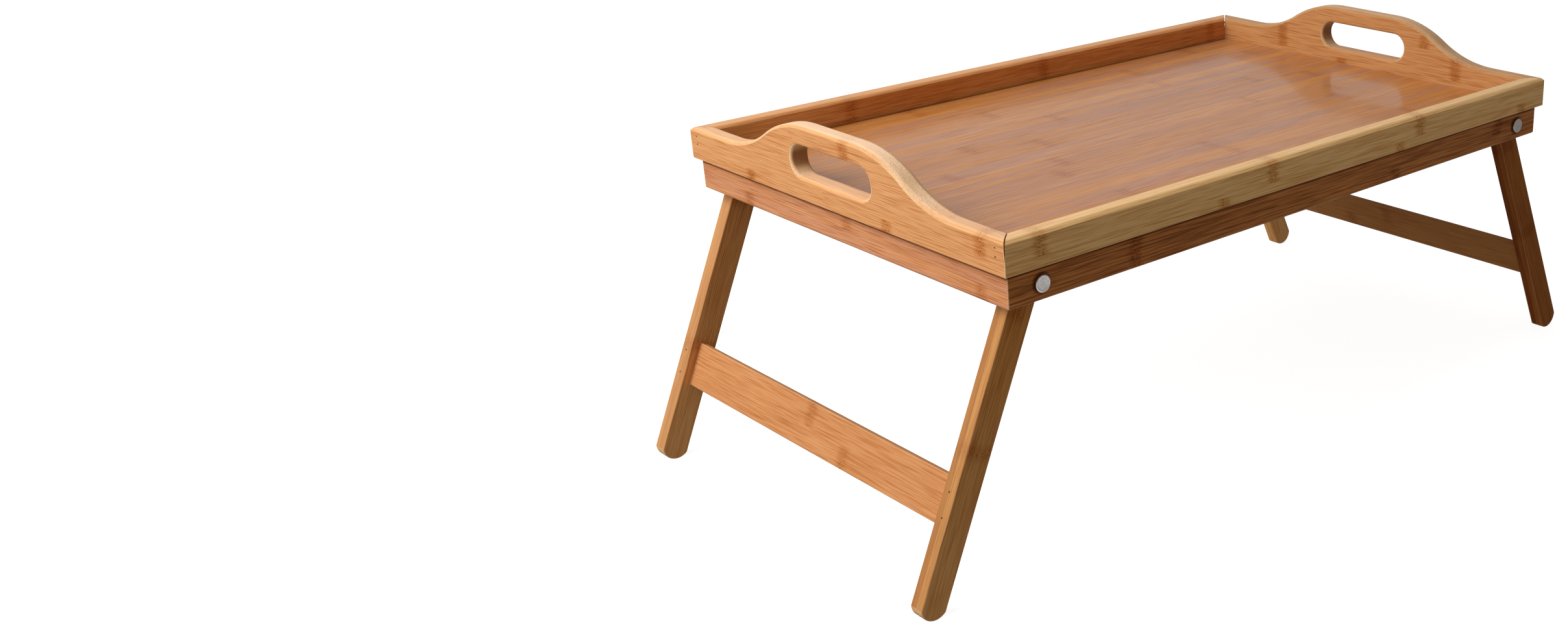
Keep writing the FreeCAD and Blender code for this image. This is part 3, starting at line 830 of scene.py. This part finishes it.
# %% Finish the legs
def leg(side, hand, row, y):
    """Gives a leg its finish. y is -1 in front and 1 at the back."""
    shade = CANE_TONES_AND_PAINTED_LIGHT[side + "_" + row]
    dark_cane = (side, row) == ("right", "front")
    wear(side + "_" + row + "_leg", bamboo(
        "golden_bamboo_" + side + "_" + row + "_leg",
        along=(hand * sin(LEG_LEAN), 0, -cos(LEG_LEAN)),
        across=(cos(LEG_LEAN), 0, hand * sin(LEG_LEAN)),
        corner=(hand * bolt_x, y * LEG_SEAM, bolt_z), joint=-0.030, strip=0.060,
        layer=0.0104, seed=21.0 + 2 * hand + y, inner=-0.8 * y,
        bands=((0.111 + 0.01 * y, -0.02, 0.02), (0.020, -0.02, 0.004)),
        pale=tinted((0.60, 0.29, 0.098), shade), deep=tinted((0.41, 0.15, 0.038), shade),
        # the lighter foot is painted floor bounce; the dark right front cane gets none
        contrast=0.2, fading=() if dark_cane else PAINTED_FOOT_BOUNCE, faded=(0.80, 0.43, 0.165),
        cut=tinted((0.35, 0.226, 0.125), shade), top=0.45 if hand < 0 else 0.0,
        gloss=0.03))


def stretcher(side, hand):
    """Gives a stretcher its finish."""
    shade = CANE_TONES_AND_PAINTED_LIGHT[side]
    wear(side + "_stretcher", bamboo(
        "honey_bamboo_" + side + "_stretcher", along=(0, 1, 0),
        across=(hand * sin(LEG_LEAN), 0, -cos(LEG_LEAN)),
        corner=(hand * bolt_x, 0, bolt_z), joint=0.100, strip=0.060, layer=0.02,
        layer_joint=0.01, seed=31.0 + hand, contrast=0.4, drift=0.25, fine=1.0, dash=0.35,
        bands=((-0.0035 * hand, 0.10, 0.134), (0.0376 * hand, 0.134, 0.16)),
        pale=tinted((0.53, 0.25, 0.098), shade), deep=tinted((0.43, 0.175, 0.060), shade),
        cut=tinted((0.68, 0.37, 0.16), shade), crest=0.4))


for side, hand in (("left", -1), ("right", 1)):
    for row, y in (("front", -1), ("back", 1)):
        leg(side, hand, row, y)
    stretcher(side, hand)
print("legs and stretchers are finished")

# %% [markdown]
# ## The metal
#
# The bolts and nuts are bright nickel, clouded where fingers and tools have touched
# them, so a soft noise makes both the colour and the roughness patchy and a finer one
# adds scratches. The washers are plainer steel, and the brads that hold the corners
# are darkened steel pins sunk a hair below the surface.


# %% Make the metals
def metal(name, colour, rough):
    """A worn metal, clouded and finely scratched."""
    finish, tree, shader = new_finish(name)
    spot = add(tree, "ShaderNodeTexCoord").outputs["Object"]
    smudge = cloud(tree, spot, (420.0, 420.0, 420.0), detail=4.0, roughness=0.7)
    scratch = cloud(tree, spot, (2600.0, 2600.0, 2600.0), detail=1.0)
    clouded = [channel * 0.55 for channel in colour]
    feed(tree, shader.inputs["Base Color"], blend(tree, smudge, colour, clouded))
    shine = fade(tree, smudge, 0.35, 0.65, rough * 0.7, rough * 1.5)
    shine = calc(tree, "MULTIPLY_ADD", scratch, 0.08, shine)
    feed(tree, shader.inputs["Roughness"], shine)
    shader.inputs["Metallic"].default_value = 1.0
    roughen(tree, shader, calc(tree, "ADD", scratch, smudge), 0.25, 0.0002)
    return finish


nickel = metal("bright_nickel", (0.80, 0.775, 0.75), 0.26)
steel = metal("washer_steel_finish", (0.52, 0.51, 0.50), 0.38)
dark_steel = metal("brad_steel_finish", (0.10, 0.085, 0.075), 0.55)
wear("pivot_washers", steel)
for node in ("corner_brads", "left_tenon_pins", "right_tenon_pins"):
    wear(node, dark_steel)
print("metals:", nickel.name, steel.name, dark_steel.name)

# %% [markdown]
# A bolt is a turned piece, so it is one outline spun round its axis. The outline
# starts at the middle of the head, which is dished by a tenth of a millimetre inside
# a raised rim, goes round the rim, back under the head to the neck, and along the
# shank to its end inside the nut. Spinning keeps the rings of the lathe true, and the
# rounded rim catches a thin bright line of light, as the real one does.


# %% Turn a shape on the lathe
def turned(outline, steps=72):
    """A closed shape from (reach, radius) points in mm, spun round the y axis."""
    bm = bmesh.new()
    row = [bm.verts.new((radius / 1000, -reach / 1000, 0)) for reach, radius in outline]
    for one, two in zip(row, row[1:]):
        bm.edges.new((one, two))
    bmesh.ops.spin(bm, geom=bm.verts[:] + bm.edges[:], cent=(0, 0, 0), dvec=(0, 0, 0),
                   axis=(0, 1, 0), angle=2 * pi, steps=steps, use_merge=True)
    bmesh.ops.remove_doubles(bm, verts=bm.verts, dist=1e-6)
    bmesh.ops.recalc_face_normals(bm, faces=bm.faces)
    return bm


def set_out(name, shape, stations, finish, stands_for):
    """Puts a copy of a shape at every station and hands the lot to the tray."""
    every = bmesh.new()
    for station in stations:
        one = bpy.data.meshes.new("one_copy")
        shape.to_mesh(one)
        one.transform(station)
        every.from_mesh(one)
        bpy.data.meshes.remove(one)
    shape.free()
    mesh = finished_mesh(name, every, finish)
    mesh.shade_smooth()
    mesh.set_sharp_from_angle(angle=radians(38))
    piece = stand(name, mesh)
    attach(piece, "tray")
    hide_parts(stands_for)
    print(name, "has", len(mesh.polygons), "faces")
    return piece


skirt_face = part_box("back_skirt")[1].y
shank_end = min(abs(v.co.y) for v in parts["pivot_bolts"].data.vertices)
shank = (skirt_face - shank_end) * 1000
print("shank is", round(shank, 2), "mm long")

# %% [markdown]
# The outline of the head is given in millimetres from the face of the skirt outwards,
# as a reach along the axis and a radius. The back bolts are the front ones turned
# half round about the upright axis, so that all four heads face out.

# %% Set out the four bolts
head_and_shank = (
    (1.88, 0.0), (1.885, 0.9), (1.90, 2.0), (1.915, 3.1), (1.93, 3.9), (1.985, 4.25),
    (2.0, 4.5), (1.98, 4.72), (1.90, 4.92), (1.76, 5.05), (1.60, 5.10), (1.02, 5.10),
    (0.88, 5.03),
    (0.80, 4.84), (0.80, 2.85), (0.72, 2.70), (0.0, 2.70), (0.0, 2.50),
    (-shank + 0.4, 2.50), (-shank, 2.15), (-shank, 0.0),
)
outward = [Matrix.Translation((hand * bolt_x, -skirt_face, bolt_z)) for hand in (-1, 1)]
half_turn = Matrix.Rotation(pi, 4, "Z")
bolts = set_out("turned_pivot_bolts", turned(head_and_shank),
                outward + [half_turn @ station for station in outward],
                nickel, "pivot_bolts")

# %% [markdown]
# The nuts inside the tray are small acorn nuts. The lower part is a six-sided barrel
# from a cone with six segments and equal ends, with its edges bevelled so that it
# doesn't look cut from paper. The dome is another turned shape that stands on it.

# %% Turn the dome of a cap nut
nut_inner = min(abs(v.co.y) for v in parts["cap_nuts"].data.vertices)
nut_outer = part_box("cap_nuts")[1].y
tip = -(nut_outer - nut_inner) * 1000
barrel_length = 2.3
acorn = turned(((tip, 0.0), (tip + 0.06, 0.9), (tip + 0.28, 1.8), (tip + 0.72, 2.55),
                (tip + 1.2, 2.95), (-barrel_length, 3.05), (-barrel_length + 0.2, 3.05),
                (-barrel_length + 0.2, 0.0)), steps=48)
print("a nut is", round(-tip, 2), "mm long")

# %% [markdown]
# The barrel is made lying along the bolt, bevelled on every edge, and joined to the
# dome. The pair is then copied to the four places, tips towards the middle.

# %% Set out the four cap nuts
ACROSS_CORNERS = 0.0079
barrel = bmesh.new()
bmesh.ops.create_cone(barrel, cap_ends=True, segments=6, radius1=ACROSS_CORNERS / 2,
                      radius2=ACROSS_CORNERS / 2, depth=barrel_length / 1000)
bmesh.ops.bevel(barrel, geom=barrel.edges[:], affect="EDGES", offset=0.00028, segments=3,
                profile=0.5, material=-1)
bmesh.ops.rotate(barrel, verts=barrel.verts, matrix=Matrix.Rotation(pi / 2, 3, "X"))
bmesh.ops.translate(barrel, verts=barrel.verts, vec=(0, barrel_length / 2000, 0))
barrel_mesh = finished_mesh("nut_barrel", barrel, nickel)
acorn.from_mesh(barrel_mesh)
bpy.data.meshes.remove(barrel_mesh)
inward = [Matrix.Translation((hand * bolt_x, -nut_outer, bolt_z)) for hand in (-1, 1)]
nuts = set_out("acorn_cap_nuts", acorn, inward + [half_turn @ station for station in inward],
               nickel, "cap_nuts")

# %% [markdown]
# Metal shows what is around it, and under a table there is little to show. So one
# more soft card lies flat on the floor, out of sight, and lights only the bolts and
# nuts. Light linking names the pieces that a lamp reaches.

# %% Light the metal
shiny = bpy.data.collections.new("shiny_pieces")
for piece in (bolts, nuts, parts["pivot_washers"]):
    shiny.objects.link(piece)
card = soft_box("bolt_card", (-0.7, -0.1, 0.004), (-0.7, -0.1, 1.0), (1.6, 2.4), 6.5)
card.visible_camera = False
card.light_linking.receiver_collection = shiny
